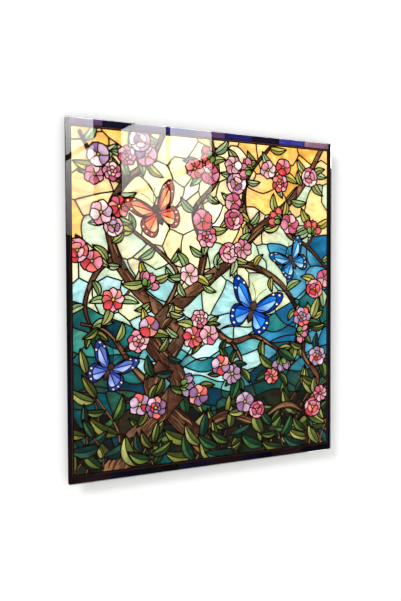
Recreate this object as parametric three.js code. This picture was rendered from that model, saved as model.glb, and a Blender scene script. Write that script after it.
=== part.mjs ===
// A frameless glass wall panel. A clear toughened glass sheet has a printed film bonded to its back.
// A Z-section rail and two rubber pads on the film's back hold the sheet clear of the wall.
// Frame: the wall is the plane Y = 0 and the picture faces -Y, with X to the viewer's right and Z up.
// The origin is the centre of the rail's lip, on the face that lies against the wall.
import * as THREE from "three";

// Sizes in millimetres.

// Glass sheet.
const PANEL_WIDTH = 700;
const PANEL_HEIGHT = 800;
const GLASS_THICKNESS = 4;
const CORNER_RADIUS = 5;
const ARRIS = 0.6; // polished chamfer along the glass edges

// Printed film behind the glass.
const FILM_THICKNESS = 0.4;
const FILM_MARGIN = 0.7; // bare glass around the film, so that it ends on the flat of the glass

// Space between the wall and the back of the film.
const WALL_GAP = 16;

// Hanging rail: a glued flange, a web towards the wall and a lip that drops behind the wall's own cleat.
const RAIL_LENGTH = 460;
const RAIL_WALL = 2.5;
const RAIL_FLANGE_HEIGHT = 32;
const RAIL_LIP_HEIGHT = 24;
const RAIL_BEND_RADIUS = 1.5;
const RAIL_TO_TOP = 110; // from the flange's upper edge to the panel's upper edge

// Rubber pads at the lower corners.
const BUMPER_RADIUS = 11;
const BUMPER_EDGE_RADIUS = 1.5;
const BUMPER_FROM_SIDE = 60; // from the panel's side to the pad's centre
const BUMPER_FROM_BOTTOM = 60;

// Steps on each rounded corner, and sides on each pad.
const CORNER_STEPS = 8;
const BUMPER_EDGE_STEPS = 4;
const BUMPER_SIDES = 36;

// Places worked out from the sizes.
const webTop = RAIL_LIP_HEIGHT / 2;
const flangeBottom = webTop - RAIL_WALL;
const flangeTop = flangeBottom + RAIL_FLANGE_HEIGHT;
const panelTop = flangeTop + RAIL_TO_TOP;
const panelCentre = panelTop - PANEL_HEIGHT / 2;
const filmBack = -WALL_GAP;
const filmFront = filmBack - FILM_THICKNESS;

const glassMaterial = new THREE.MeshStandardMaterial({
  color: 0xe6f2ec,
  roughness: 0.03,
  metalness: 0,
  transparent: true,
  opacity: 0.25,
});
const filmMaterial = new THREE.MeshStandardMaterial({
  color: 0x6f8f86,
  roughness: 0.6,
  metalness: 0,
});
const railMaterial = new THREE.MeshStandardMaterial({
  color: 0xb8bcc0,
  roughness: 0.35,
  metalness: 1,
});
const rubberMaterial = new THREE.MeshStandardMaterial({
  color: 0x232527,
  roughness: 0.85,
  metalness: 0,
});

// A closed outline through right-angled corners, each given as [x, y, radius].
function roundedOutline(corners) {
  const shape = new THREE.Shape();
  corners.forEach(([x, y, radius], i) => {
    const corner = new THREE.Vector2(x, y);
    const [toLast, toNext] = [-1, 1].map((step) => {
      const [nx, ny] = corners.at((i + step) % corners.length);
      return new THREE.Vector2(nx, ny).sub(corner).normalize();
    });
    const arcStart = corner.clone().addScaledVector(toLast, radius);
    if (i === 0) shape.moveTo(arcStart.x, arcStart.y);
    else shape.lineTo(arcStart.x, arcStart.y);
    if (radius === 0) return;
    const centre = arcStart.clone().addScaledVector(toNext, radius);
    const start = toNext.clone().negate().angle();
    const end = toLast.clone().negate().angle();
    const clockwise = toLast.cross(toNext) > 0;
    shape.absarc(centre.x, centre.y, radius, start, end, clockwise);
  });
  shape.closePath();
  return shape;
}

function roundedRectangle(width, height, radius) {
  const corners = [
    [-width / 2, -height / 2, radius],
    [width / 2, -height / 2, radius],
    [width / 2, height / 2, radius],
    [-width / 2, height / 2, radius],
  ];
  return roundedOutline(corners);
}

function mesh(name, geometry, material) {
  const made = new THREE.Mesh(geometry, material);
  made.name = name;
  return made;
}

// A sheet drawn in X and Y and extruded along Z stands up facing -Y after a quarter turn about X.
function standUp(sheet, frontFace) {
  sheet.rotation.x = Math.PI / 2;
  sheet.position.set(0, frontFace, panelCentre);
  return sheet;
}

function glassPanel() {
  const geometry = new THREE.ExtrudeGeometry(roundedRectangle(PANEL_WIDTH, PANEL_HEIGHT, CORNER_RADIUS), {
    depth: GLASS_THICKNESS - 2 * ARRIS,
    bevelEnabled: true,
    bevelThickness: ARRIS,
    bevelSize: ARRIS,
    bevelOffset: -ARRIS,
    bevelSegments: 1,
    curveSegments: CORNER_STEPS,
  });
  geometry.translate(0, 0, ARRIS - GLASS_THICKNESS);
  return standUp(mesh("glass_panel", geometry, glassMaterial), filmFront - GLASS_THICKNESS);
}

function printedFilm() {
  const outline = roundedRectangle(
    PANEL_WIDTH - 2 * FILM_MARGIN,
    PANEL_HEIGHT - 2 * FILM_MARGIN,
    CORNER_RADIUS - FILM_MARGIN,
  );
  const geometry = new THREE.ExtrudeGeometry(outline, {
    depth: FILM_THICKNESS,
    bevelEnabled: false,
    curveSegments: CORNER_STEPS,
  });
  geometry.translate(0, 0, -FILM_THICKNESS);
  return standUp(mesh("printed_film", geometry, filmMaterial), filmFront);
}

// The section is drawn with its first axis along Y and its second along Z.
function hangingRail() {
  const section = roundedOutline([
    [0, -RAIL_LIP_HEIGHT / 2, 0],
    [0, webTop, RAIL_BEND_RADIUS],
    [filmBack + RAIL_WALL, webTop, RAIL_BEND_RADIUS],
    [filmBack + RAIL_WALL, flangeTop, 0],
    [filmBack, flangeTop, 0],
    [filmBack, flangeBottom, RAIL_BEND_RADIUS],
    [-RAIL_WALL, flangeBottom, RAIL_BEND_RADIUS],
    [-RAIL_WALL, -RAIL_LIP_HEIGHT / 2, 0],
  ]);
  const geometry = new THREE.ExtrudeGeometry(section, {
    depth: RAIL_LENGTH,
    bevelEnabled: false,
    curveSegments: CORNER_STEPS,
  });
  geometry.translate(0, 0, -RAIL_LENGTH / 2);
  const toRow = new THREE.Matrix4().makeBasis(
    new THREE.Vector3(0, 1, 0),
    new THREE.Vector3(0, 0, 1),
    new THREE.Vector3(1, 0, 0),
  );
  geometry.applyMatrix4(toRow);
  return mesh("hanging_rail", geometry, railMaterial);
}

// A round pad turned about Y, from the film's back to the wall, with its wall edge rounded.
function bumper(name, side) {
  const profile = new THREE.Path();
  profile.moveTo(0, filmBack);
  profile.lineTo(BUMPER_RADIUS, filmBack);
  profile.lineTo(BUMPER_RADIUS, -BUMPER_EDGE_RADIUS);
  profile.absarc(BUMPER_RADIUS - BUMPER_EDGE_RADIUS, -BUMPER_EDGE_RADIUS, BUMPER_EDGE_RADIUS, 0, Math.PI / 2);
  profile.lineTo(0, 0);
  const geometry = new THREE.LatheGeometry(profile.getPoints(BUMPER_EDGE_STEPS), BUMPER_SIDES);
  const pad = mesh(name, geometry, rubberMaterial);
  const fromCentre = PANEL_WIDTH / 2 - BUMPER_FROM_SIDE;
  pad.position.set(side * fromCentre, 0, panelTop - PANEL_HEIGHT + BUMPER_FROM_BOTTOM);
  return pad;
}

const group = new THREE.Group();
group.add(glassPanel(), printedFilm(), hangingRail(), bumper("bumper_left", -1), bumper("bumper_right", 1));

export default group;
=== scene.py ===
"""Frameless glass wall panel with a stained-glass style picture behind it.

The picture is a flat print: panes of colour that fill the film edge to edge, and printed lead lines between
them. It is drawn in millimetres. A point of it is a complex number: its real part goes right from the film's
left edge, and its imaginary part goes up from the film's lower edge.
"""

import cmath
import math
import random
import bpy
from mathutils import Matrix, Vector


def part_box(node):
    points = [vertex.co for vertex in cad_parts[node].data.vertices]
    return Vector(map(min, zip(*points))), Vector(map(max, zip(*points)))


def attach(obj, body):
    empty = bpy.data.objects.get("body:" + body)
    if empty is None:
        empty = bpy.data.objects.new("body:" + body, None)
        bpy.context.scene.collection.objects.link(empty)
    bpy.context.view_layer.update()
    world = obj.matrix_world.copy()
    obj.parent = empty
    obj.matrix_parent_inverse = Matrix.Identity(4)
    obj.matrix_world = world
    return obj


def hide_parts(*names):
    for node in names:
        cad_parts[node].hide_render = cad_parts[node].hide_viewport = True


bl_info = {
    "name": "Glass wall panel",
    "version": (1, 0, 0),
    "blender": (4, 5, 0),
    "location": "3D View > Sidebar > Glass panel",
    "description": "Builds the looks of a printed glass wall panel around its frame",
    "category": "Object",
}

from collections import Counter
from types import SimpleNamespace
from typing import NamedTuple

import bpy
import numpy as np
from bpy.props import FloatProperty, IntProperty, PointerProperty, StringProperty
from mathutils import Matrix, Vector, kdtree
from mathutils.bvhtree import BVHTree
from mathutils.geometry import delaunay_2d_cdt

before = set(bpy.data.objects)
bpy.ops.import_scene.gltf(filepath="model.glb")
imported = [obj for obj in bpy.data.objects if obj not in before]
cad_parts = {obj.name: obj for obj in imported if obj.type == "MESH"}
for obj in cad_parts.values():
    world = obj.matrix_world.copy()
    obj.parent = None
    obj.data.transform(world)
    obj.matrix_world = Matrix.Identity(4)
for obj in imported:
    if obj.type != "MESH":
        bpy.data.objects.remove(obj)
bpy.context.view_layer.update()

MM = 0.001
BODY = "root"

GLASS_LOW, GLASS_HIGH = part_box("glass_panel")
FILM_LOW, FILM_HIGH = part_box("printed_film")
PANEL_CENTRE = (GLASS_LOW + GLASS_HIGH) / 2
FILM_WIDTH = (FILM_HIGH.x - FILM_LOW.x) / MM
FILM_HEIGHT = (FILM_HIGH.z - FILM_LOW.z) / MM

# The print is bonded to the glass, so its face lies a hair inside the glass and no air shows between them.
PRINT_DEPTH = FILM_LOW.y - 0.05 * MM
LEAD_DEPTH = FILM_LOW.y - 0.08 * MM


# Sizes and colours


def length_setting(name, description, default):
    return FloatProperty(name=name, description=description, default=default, unit="LENGTH")


def angle_setting(name, description, degrees):
    return FloatProperty(name=name, description=description, default=math.radians(degrees), unit="ROTATION")


def colour_setting(name, description, default):
    return StringProperty(name=name, description=description, default=default)


class PictureSettings(bpy.types.PropertyGroup):
    """Sizes of the printed picture"""

    seed: IntProperty(name="Seed", description="Start of every random draw", default=11)
    side_band: length_setting("Side band", "Width of the dark strips left and right", 0.0078)
    end_band: length_setting("End band", "Height of the dark strips at top and bottom", 0.0145)
    came: length_setting("Came", "Brown came inside the strips", 0.0024)
    cell: length_setting("Cell", "Width of a background pane", 0.060)
    bloom: length_setting("Bloom", "Radius of a full flower", 0.0285)
    leaf: length_setting("Leaf", "Length of a full leaf", 0.052)
    trunk: length_setting("Trunk", "Width of the trunk at its foot", 0.062)
    ground_line: length_setting("Ground line", "Lead line between background panes", 0.0037)
    figure_line: length_setting("Figure line", "Lead line round a flower, leaf or stem", 0.0036)
    inner_line: length_setting("Inner line", "Lead line inside a flower or leaf", 0.0025)


class SurfaceColours(bpy.types.PropertyGroup):
    """Colours of the panel's own materials, as sRGB hex values"""

    glass: colour_setting("Glass", "Tint of the clear glass", "#F6FBF9")
    lead: colour_setting("Lead lines", "Printed lead lines", "#180E0A")
    backing: colour_setting("Backing", "Protective coat on the film's back", "#737477")
    aluminium: colour_setting("Rail", "Anodised aluminium", "#C3C5C7")
    rubber: colour_setting("Pads", "Moulded rubber", "#1D1E20")


class StageSettings(bpy.types.PropertyGroup):
    """The room around the panel"""

    view_azimuth: angle_setting("Azimuth", "Camera's way round from the front", -26.52)
    view_elevation: angle_setting("Elevation", "Camera's height angle", 1.78)
    view_roll: angle_setting("Roll", "Turn about the line of sight", -0.184)
    view_distance: length_setting("Distance", "From the camera to the panel's centre", 1.5602)
    aim_x: length_setting("Aim X", "Aim point right of the panel's centre", -0.02986)
    aim_z: length_setting("Aim Z", "Aim point above the panel's centre", -0.00156)
    lens: FloatProperty(name="Lens", description="For a 36 mm sensor", default=39.09, unit="CAMERA")
    floor_drop: length_setting("Floor drop", "From the panel's lower edge to the floor", 1.1)
    wall_width: length_setting("Wall width", "Width of the wall", 9.0)


# Colour and material helpers


def linear(colour):
    """An sRGB hex colour as linear RGBA."""
    values = [int(colour[i : i + 2], 16) / 255 for i in (1, 3, 5)]
    return (*[v / 12.92 if v <= 0.04045 else ((v + 0.055) / 1.055) ** 2.4 for v in values], 1.0)


def tone(colour, factor):
    """A colour made lighter or darker, as linear RGBA."""
    return (*[min(1.0, value * factor) for value in linear(colour)[:3]], 1.0)


def add_node(tree, kind, inputs=(), **settings):
    """Adds a node. settings sets its attributes, or else its inputs by name. inputs joins or sets inputs."""
    node = tree.nodes.new(kind)
    for name, value in settings.items():
        if hasattr(node, name):
            setattr(node, name, value)
        else:
            node.inputs[name.replace("_", " ")].default_value = value
    for socket, source in dict(inputs).items():
        if isinstance(source, bpy.types.NodeSocket):
            tree.links.new(source, node.inputs[socket])
        else:
            node.inputs[socket].default_value = source
    return node


def new_material(name, **values):
    """An empty node material, its tree and its shader. values sets the shader's inputs."""
    material = bpy.data.materials.new(name)
    material.use_nodes = True
    tree = material.node_tree
    tree.nodes.clear()
    shader = add_node(tree, "ShaderNodeBsdfPrincipled", **values)
    add_node(tree, "ShaderNodeOutputMaterial", {"Surface": shader.outputs[0]})
    return material, tree, shader


def show(tree, shader):
    """Makes shader the material's surface."""
    output = next(node for node in tree.nodes if node.type == "OUTPUT_MATERIAL")
    tree.links.new(shader.outputs[0], output.inputs["Surface"])


def object_noise(tree, scale, detail=2.0, stretch=(1.0, 1.0, 1.0)):
    """Noise on the piece's own place in metres."""
    place = add_node(tree, "ShaderNodeTexCoord")
    mapped = add_node(tree, "ShaderNodeMapping", {"Vector": place.outputs["Object"]}, Scale=stretch)
    noise = add_node(tree, "ShaderNodeTexNoise", {"Vector": mapped.outputs[0]}, Scale=scale, Detail=detail)
    return noise.outputs["Fac"]


def colour_between(tree, shader, factor, colour, low, high):
    """The surface's colour, from low to high times its own."""
    ends = {6: tone(colour, low), 7: tone(colour, high)}
    shades = add_node(tree, "ShaderNodeMix", {"Factor": factor, **ends}, data_type="RGBA")
    tree.links.new(shades.outputs[2], shader.inputs["Base Color"])


def relief(tree, shader, height, strength, depth, rough, low, high):
    """Small relief from height, and a roughness from low to high where rough is high."""
    bump = add_node(tree, "ShaderNodeBump", {"Height": height}, Strength=strength, Distance=depth)
    spread = add_node(tree, "ShaderNodeMapRange", {"Value": rough}, To_Min=low, To_Max=high)
    tree.links.new(bump.outputs["Normal"], shader.inputs["Normal"])
    tree.links.new(spread.outputs[0], shader.inputs["Roughness"])


# Flat drawing helpers


class Pane(NamedTuple):
    """One flat pane of colour. A later pane covers an earlier one."""

    outline: list
    near: tuple  # linear colour at start
    far: tuple  # linear colour at end
    start: complex
    end: complex
    line: float  # width of the lead line against other figures
    inner: float  # width of the lead line against its own figure
    figure: int


class Drawing:
    """The picture as panes drawn back to front, with its sizes in millimetres and its random draws."""

    def __init__(self, settings):
        lengths = [name for name in settings.__annotations__ if name != "seed"]
        self.mm = SimpleNamespace(**{name: getattr(settings, name) / MM for name in lengths})
        self.rng = random.Random(settings.seed)
        self.panes = []
        self.figure = 0

    def add(self, outline, near, far=None, start=None, end=None, line=None, inner=None):
        near, far = (linear(c) if isinstance(c, str) else c for c in (near, far or near))
        start = sum(outline) / len(outline) if start is None else start
        line = self.mm.figure_line if line is None else line
        inner = self.mm.inner_line if inner is None else inner
        end = start + 1j if end is None else end
        self.panes.append(Pane(outline, near, far, start, end, line, inner, self.figure))


def heading(degrees):
    return cmath.rect(1, math.radians(degrees))


def unit(vector):
    return vector / abs(vector) if vector else 1j


def blend(first, second, share):
    return tuple(a + (b - a) * share for a, b in zip(first, second))


def smooth_path(points, step=5.0):
    """A Catmull-Rom curve through the points, with one point about every step."""
    ends = [2 * points[0] - points[1], *points, 2 * points[-1] - points[-2]]
    path = []
    for p0, p1, p2, p3 in zip(ends, ends[1:], ends[2:], ends[3:]):
        count = max(1, round(abs(p2 - p1) / step))
        for t in (k / count for k in range(count)):
            square = (2 * p0 - 5 * p1 + 4 * p2 - p3) * t**2
            path.append(p1 + ((p2 - p0) * t + square + (3 * p1 - p0 - 3 * p2 + p3) * t**3) / 2)
    return [*path, points[-1]]


def left_of(path):
    """The direction to the left of the path at each of its points."""
    return [1j * unit(b - a) for a, b in zip([path[0], *path[:-1]], [*path[1:], path[-1]])]


def ribbon(path, width):
    """A closed band along a path."""
    sides = [side * width / 2 for side in left_of(path)]
    return [p + s for p, s in zip(path, sides)] + [p - s for p, s in zip(path, sides)][::-1]


def blade(base, tip, width, widest=0.5, bend=0.0, plump=0.8, steps=7):
    """The left side, midrib and right side of a petal or leaf with a point at each end."""
    axis = tip - base
    side = 1j * unit(axis)
    power = math.log(0.5) / math.log(widest)
    left, rib, right = [], [], []
    for t in (i / steps for i in range(steps + 1)):
        half = side * width / 2 * abs(math.sin(math.pi * t**power)) ** plump
        rib.append(base + axis * t + side * abs(axis) * bend * math.sin(math.pi * t))
        left.append(rib[-1] + half)
        right.append(rib[-1] - half)
    return left, rib, right


def petal(drawing, base, tip, width, near, far, widest=0.55, plump=0.7, inner=None):
    left, _, right = blade(base, tip, width, widest, 0.0, plump)
    drawing.add(left + right[-2:0:-1], near, far, base, tip, inner=inner)


def round_outline(centre, along, over, turn=0.0, steps=9):
    """An ellipse with its first half-axis turned by turn degrees."""
    angles = [2 * math.pi * i / steps for i in range(steps)]
    return [centre + heading(turn) * complex(along * math.cos(a), over * math.sin(a)) for a in angles]


# The ground of the picture

AMBERS = ("#E8A042", "#EDB058", "#E4B86C", "#F0C47A", "#E0B484", "#E8CA8A", "#DCBC86")
CREAMS = ("#F6E8BA", "#F2DFA8", "#EACF94", "#F4EBCC", "#E4D6A2", "#EFD0A6", "#DFD49A")
BEIGES = ("#D8C8A0", "#CDB98E", "#D9C9AC", "#C7C09A", "#E0CFA0")
MINTS = ("#C4D2AE", "#B2C6A8", "#CDCF9C", "#A8C0A8", "#D3C8A0", "#BAC8B2")
AQUAS = ("#9CC6C6", "#8CBAC2", "#A6C8D0", "#84B2AC", "#B0CCC2", "#9ABCB2")
TEALS = ("#147C86", "#1C857E", "#2A8496", "#115F69", "#3A929C", "#236E66", "#447C6E")
BLUES = ("#2F7FA4", "#1B5C84", "#4A9AB8", "#164A68", "#2A6E80", "#62A8BC")
DEEPS = ("#0C4248", "#133C3A", "#174C44", "#0F3040", "#224C3A", "#2A4430")
DARKS = ("#0E1E24", "#15251C", "#0C1824", "#1C2418", "#161616", "#241E14", "#101510", "#2E2016")
HILLS = ("#11545E", "#0E434F", "#206A6C", "#0D3643", "#28726E", "#1A524C", "#345E50")
SHALLOWS = ("#267E86", "#3E929A", "#155A62", "#66A6A8", "#4E948C", "#7CAEA6")

# The wavy lines of the water and the hills: heights in the valley and at the sides, as shares of the
# picture's height, then the size of the wave in mm, its length and its start.
WAVES = (
    (0.385, 0.520, 11, 47, 0.4),
    (0.340, 0.455, 13, 38, 2.1),
    (0.300, 0.400, 10, 52, 4.4),
    (0.262, 0.335, 12, 41, 1.2),
    (0.222, 0.275, 9, 36, 5.3),
    (0.180, 0.215, 10, 45, 3.0),
    (0.128, 0.150, 8, 34, 0.9),
)
WAVE_STEP = 8.0  # mm between the points of a wavy line

# Background panes, with sizes in mm.
LOW_STRETCH = 1.9  # how much longer the panes are in the low rows
LOW_ROWS = 0.45  # the low rows' share of the height
CELL_NEIGHBOURS = 25  # more than can touch one pane
JOINED = 0.55  # the chance that a pane is cut as one with its neighbour
EDGE_STEP = 7  # between the points of a pane's edge
STILL_EDGE = 60  # the width of the zone at the film's edge where the sway fades out
LONG_SWAY = 20
SHORT_SWAY = 9


def sway(point):
    """Bends straight pane edges into the flowing lines of cut glass. It is still at the film's edge."""
    x, z = point.real, point.imag
    away = min(x, FILM_WIDTH - x, z, FILM_HEIGHT - z)
    hold = min(1.0, max(0.0, away) / STILL_EDGE)
    across = LONG_SWAY * math.sin(z / 55 + 1.3 + 0.6 * math.sin(x / 80))
    up = LONG_SWAY * math.sin(x / 52 + 0.4 + 0.6 * math.sin(z / 90))
    short = complex(SHORT_SWAY * math.sin(z / 25 + x / 39), SHORT_SWAY * math.sin(x / 27 - z / 35 + 2))
    return point + (complex(across, up) + short) * hold


def clip_to_nearer(cell, seed, other):
    """The part of a convex cell that is nearer to seed than to other."""
    kept = []
    for i, point in enumerate(cell):
        here, before = (abs(p - seed) ** 2 - abs(p - other) ** 2 for p in (point, cell[i - 1]))
        if (here < 0) != (before < 0):
            kept.append(cell[i - 1] + (point - cell[i - 1]) * before / (before - here))
        if here < 0:
            kept.append(point)
    return kept


def ground_cells(drawing):
    """Background panes: cells round scattered seeds, long where the water lies. Some are cut as one."""
    rng = drawing.rng
    seeds = []
    rows = round(FILM_HEIGHT / drawing.mm.cell)
    for row in range(rows):
        stretch = LOW_STRETCH if row < LOW_ROWS * rows else 1.0
        columns = round(FILM_WIDTH / (drawing.mm.cell * stretch))
        for column in range(columns):
            x = (column + 0.5 + 0.25 * (-1) ** row + rng.uniform(-0.36, 0.36)) / columns
            z = (row + 0.5 + rng.uniform(-0.38, 0.38)) / rows
            seeds.append(complex(x * FILM_WIDTH, z * FILM_HEIGHT))
    film = [0j, FILM_WIDTH + 0j, complex(FILM_WIDTH, FILM_HEIGHT), 1j * FILM_HEIGHT]
    group = {}
    for k, seed in enumerate(seeds):
        nearest = sorted(range(len(seeds)), key=lambda i: abs(seeds[i] - seed))[1 : CELL_NEIGHBOURS + 1]
        if k not in group and nearest[0] not in group and rng.random() < JOINED:
            group[k] = group[nearest[0]] = k
        cell = film
        for other in nearest:
            cell = clip_to_nearer(cell, seed, seeds[other])
        outline = []
        for point, after in zip(cell, [*cell[1:], cell[0]]):
            count = max(1, math.ceil(abs(after - point) / EDGE_STEP))
            outline += [sway(point + (after - point) * i / count) for i in range(count)]
        drawing.add(outline, "#FFFFFF", line=drawing.mm.ground_line, inner=drawing.mm.ground_line)
    return [group.get(k, k) for k in range(len(seeds))]


def below_wave(valley, side, size, length, start):
    """Everything below one wavy line. The line is low left of the middle and highest at the right."""
    line = []
    for i in range(-3, int(FILM_WIDTH / WAVE_STEP) + 5):
        x = WAVE_STEP * i
        rise = abs(2 * x / FILM_WIDTH - 0.9) ** 1.5 * (1.2 if x > FILM_WIDTH / 2 else 0.95)
        wave = math.sin(x / length + start) + 0.4 * math.sin(x / length * 2.3 + 2 * start)
        line.append(complex(x, (valley + (side - valley) * rise) * FILM_HEIGHT + size * wave))
    return [*line, line[-1].real - 30j, line[0].real - 30j]


def ground_colours(middle, depth, rng):
    """Palette of a ground pane from where its middle lies and how many wavy lines are above it."""
    u, v = middle.real / FILM_WIDTH, middle.imag / FILM_HEIGHT
    side = abs(2 * u - 0.9)
    # Under the wavy lines.
    if depth >= 6:
        return DARKS if rng.random() < 0.85 else DEEPS
    if depth:
        if side < 0.42:
            return (AQUAS, SHALLOWS, AQUAS, SHALLOWS, DEEPS)[depth - 1]
        if u > 0.72 and depth < 5:
            return BLUES if rng.random() < 0.6 else HILLS
        return (HILLS, TEALS, HILLS, DEEPS, DEEPS)[depth - 1]
    # Above them.
    if v < 0.53 + 0.03 * math.sin(9 * u):
        return AQUAS if rng.random() < 0.75 else MINTS
    if u > 0.76 and v < 0.68:
        return BLUES if rng.random() < 0.65 else TEALS
    if v < 0.67 + 0.03 * math.sin(7 * u + 1):
        return MINTS if rng.random() < 0.65 else BEIGES
    glow = abs(complex(u, v) - (0.40 + 0.79j)) + rng.uniform(-0.07, 0.07)
    if u > 0.76 and v < 0.86 and rng.random() < 0.5:
        return MINTS
    return CREAMS if glow < 0.22 else AMBERS if v > 0.76 or rng.random() < 0.5 else BEIGES


# The figures of the picture

BARKS = ("#6E4530", "#5E3A2C", "#7C5638", "#4E3024", "#845C40", "#634636")
BARK_SHADES = ("#34201A", "#3E261D", "#261612")
HIGH_LEAVES = (("#8A9450", "#BBBE76"), ("#7A9658", "#AEC084"), ("#9C9644", "#D4C458"), ("#86A070", "#BBC898"))
LOW_LEAVES = (("#263E22", "#74883E"), ("#183828", "#42703E"), ("#3A4A24", "#A0A858"), ("#14302C", "#305C48"),
              ("#3C4420", "#8A8A40"), ("#566230", "#B8B668"))
HIGH_FROM = 340  # the height in mm from which leaves take the high leaves' colours
FAMILIES = (("#C44248", "#DA6460", "#E68A80"), ("#BE5872", "#D27C92", "#E2A4AE"),
            ("#D4889A", "#E6AEB4", "#F0D0CC"), ("#866086", "#A27E9C", "#BE9EB4"))

# Lead lines thinner than the picture's own, in mm.
STEM_LINE = 1.8
BARK_LINE = 1.7
THIN_LINE = 1.2
SPOT_LINE = 0.7
STRIP_LINE = 2.4

# Kinds of flower, ring by ring: the number of petals, their reach and width as shares of the flower's radius,
# where each is widest, and how full.
FLOWERS = (
    ((6, 1.0, 0.92, 0.58, 0.72),),
    ((7, 1.0, 0.78, 0.64, 0.7), (5, 0.52, 0.9, 0.6, 0.6)),
    ((5, 1.0, 1.1, 0.64, 0.6),),
    ((5, 1.0, 1.12, 0.66, 0.5), (3, 0.62, 1.3, 0.64, 0.5)),
    ((8, 1.0, 0.70, 0.62, 0.7),),
)


def leaf_kinds(point):
    return HIGH_LEAVES if point.imag > HIGH_FROM else LOW_LEAVES


def leaf(drawing, base, tip, colours, bend=0.1, fullness=0.38):
    """A leaf in two halves along its midrib, one of them in shade."""
    drawing.figure += 1
    left, rib, right = blade(base, tip, abs(tip - base) * fullness, 0.42, bend, steps=8)
    dark, light = colours
    drawing.add(left + rib[-2:0:-1], tone(dark, 0.9), light, base, tip)
    drawing.add(right + rib[-2:0:-1], tone(dark, 0.6), dark, base, tip)


def flower(drawing, centre, radius, kind, family):
    """Rings of petals round a golden eye, deep at their base. Some petals take the next family's colours."""
    rng = drawing.rng
    drawing.figure += 1
    turn = rng.uniform(0, 360)
    for count, reach, width, widest, plump in kind:
        for k in range(count):
            hue = rng.choice(FAMILIES[(family + (rng.random() < 0.25)) % len(FAMILIES)])
            way = heading(turn + 360 * k / count + rng.uniform(-5, 5))
            tip = centre + way * radius * reach * rng.uniform(0.9, 1.02)
            full = radius * reach * width
            petal(drawing, centre, tip, full, tone(hue, 0.55), tone(hue, 1.12), widest, plump)
        turn += 180 / count
    eye = round_outline(centre, radius * 0.15, radius * 0.15)
    drawing.add(eye, "#8C5018", "#E8B848", centre - 4j, centre + 4j)


def bud(drawing, base, tip, family):
    """A closed flower in its green cup."""
    drawing.figure += 1
    axis = tip - base
    for lean, hue in zip((0.14j, -0.14j), FAMILIES[family]):
        petal(drawing, base + axis * 0.2, tip + axis * lean, abs(axis) * 0.5, tone(hue, 0.6), hue)
    petal(drawing, base, base + axis * 0.55, abs(axis) * 0.42, "#3E6030", "#86A050", 0.4)


PATH_STEP = 6  # mm between the points of a vine
VINE_LENGTH = 17  # points in one length of it
GRAIN_PITCH = 5  # mm of half-width for each grain line
MOST_GRAINS = 5


def vine(drawing, points, start_width, end_width, span=(0.0, 1.0)):
    """A woody stem cut at a slant into lengths, with long grain lines in each. span is the stretch drawn."""
    rng = drawing.rng
    path = smooth_path([complex(*p) for p in points], PATH_STEP)
    sides = left_of(path)
    last = len(path) - 1
    halves = []
    for i in range(last + 1):
        taper = start_width + (end_width - start_width) * (i / last) ** 0.8
        halves.append(taper / 2 * (1 + 0.07 * math.sin(i * 0.55 + start_width)))
    drawing.figure += 1
    cut, final, lean = round(span[0] * last), round(span[1] * last), 0
    while cut < final:
        after = final if final - cut < 1.5 * VINE_LENGTH else cut + VINE_LENGTH
        next_lean = 0 if after == final else round(halves[after] * 0.2) * rng.choice((-1, 1))
        left = [path[i] + sides[i] * halves[i] for i in range(cut + lean, after + next_lean + 1)]
        right = [path[i] - sides[i] * halves[i] for i in range(cut - lean, after - next_lean + 1)]
        middle = (cut + after) // 2
        reach = sides[middle] * halves[middle]
        lit, shaded = path[middle] + reach * 0.5, path[middle] - reach * 1.1
        bark, shade = rng.choice(BARKS), rng.choice(BARK_SHADES)
        drawing.add(left + right[::-1], bark, shade, lit, shaded, inner=BARK_LINE)
        grains = min(MOST_GRAINS, int(halves[cut] / GRAIN_PITCH))
        for k in range(grains):
            place = ((k + 0.5) / grains * 2 - 1) * 0.72 + rng.uniform(-0.06, 0.06)
            low = cut + rng.randint(0, VINE_LENGTH // 3)
            high = after - rng.randint(0, VINE_LENGTH // 3)
            if high - low < 4:
                continue
            left, right = [], []
            for i in range(low, high + 1):
                swell = math.sin(math.pi * (i - low) / (high - low)) * 0.55 / grains
                spine = path[i] + sides[i] * halves[i] * (place + 0.07 * math.sin(i * 0.8 + k))
                left.append(spine + sides[i] * halves[i] * swell)
                right.append(spine - sides[i] * halves[i] * swell)
            hue = rng.choice(BARKS) if k else "#96704E"
            drawing.add(left + right[-2:0:-1], hue, tone(hue, 0.55), path[low], path[high], inner=THIN_LINE)
        cut, lean = after, next_lean
    return path


def stem(drawing, start, end, width, lean):
    """A thin curved stem."""
    path = smooth_path([start, (start + end) / 2 + 1j * (end - start) * lean, end])
    drawing.figure += 1
    hue = drawing.rng.choice(BARKS)
    drawing.add(ribbon(path, width), hue, tone(hue, 0.6), start, end, line=STEM_LINE)
    return path


def tendril(drawing, start, way, size, turn):
    """A curling tendril: one drawn line that winds into a coil."""
    points = []
    steps = 33
    for share in (i / steps for i in range(steps + 1)):
        coil = heading(turn * 560 * share**1.25) * (1 - share) ** 1.1
        points.append(start + way * size * 0.95 * (1 - coil))
    drawing.figure += 1
    drawing.add(ribbon(points, 1.9), "#2A1A12", line=0.0, inner=0.0)


def sprig(drawing, root, tip, count, length, kinds):
    """A curved stem with leaves on both sides and one at its tip."""
    rng = drawing.rng
    path = stem(drawing, root, tip, 4.5, rng.uniform(-0.22, 0.22))
    sides = left_of(path)
    for k in range(count):
        i = round((0.12 + 0.88 * k / (count - 1)) * (len(path) - 1))
        side = 0 if k == count - 1 else (-1) ** k
        way = unit(-1j * sides[i] * rng.uniform(0.5, 1.1) + sides[i] * side)
        reach = length * rng.uniform(0.75, 1.1) * (1.1 - 0.35 * k / count)
        leaf(drawing, path[i], path[i] + way * reach, rng.choice(kinds), 0.12 * side, rng.uniform(0.30, 0.40))


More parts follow.
